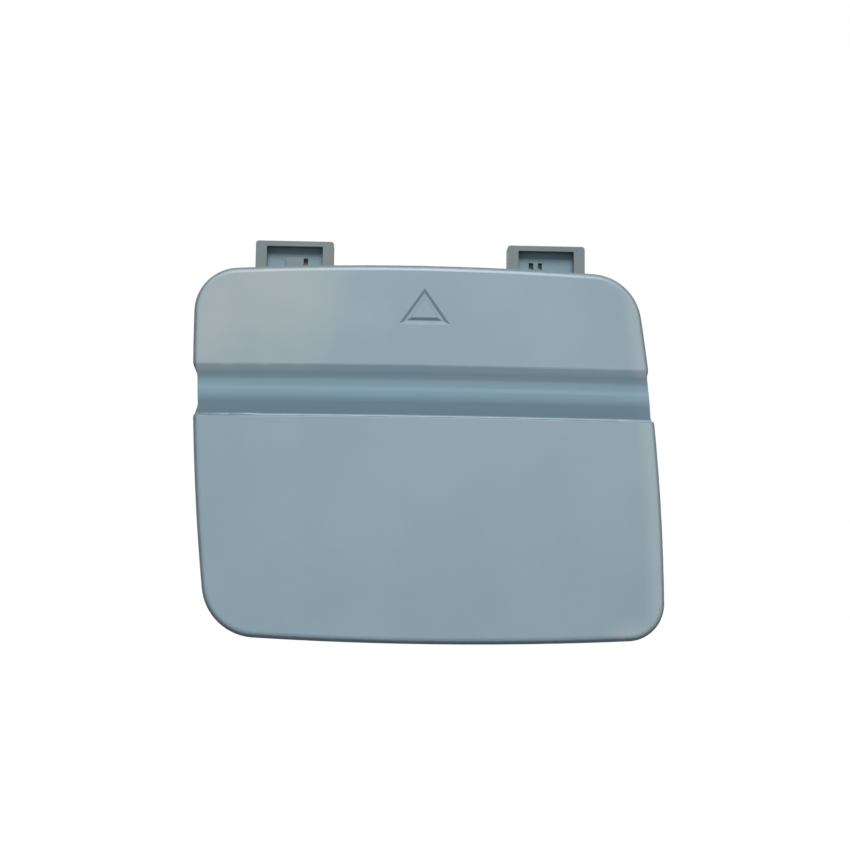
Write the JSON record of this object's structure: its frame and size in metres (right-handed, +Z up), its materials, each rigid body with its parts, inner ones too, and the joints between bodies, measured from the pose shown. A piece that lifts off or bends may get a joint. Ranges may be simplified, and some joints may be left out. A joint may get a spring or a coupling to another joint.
{
  "type": "bumper tow hook cover",
  "caption": "Crowned rectangular bumper cover with a stepped styling band and a triangular mark, boxed hooks on top and snap latches below.",
  "frame": {"origin": "middle of the plate as seen from outside, in the plane where the two top hooks bear on the back of the bumper skin", "axes": "+X to the right seen from outside, +Y into the bumper, +Z up with the hooks on top; the painted face looks along -Y"},
  "size_m": [0.0863, 0.0181, 0.075],
  "materials": {
    "painted_plastic": "satin"
  },
  "bodies": {
    "root": {"tow_hook_cover": "painted_plastic"}
  },
  "joints": []
}
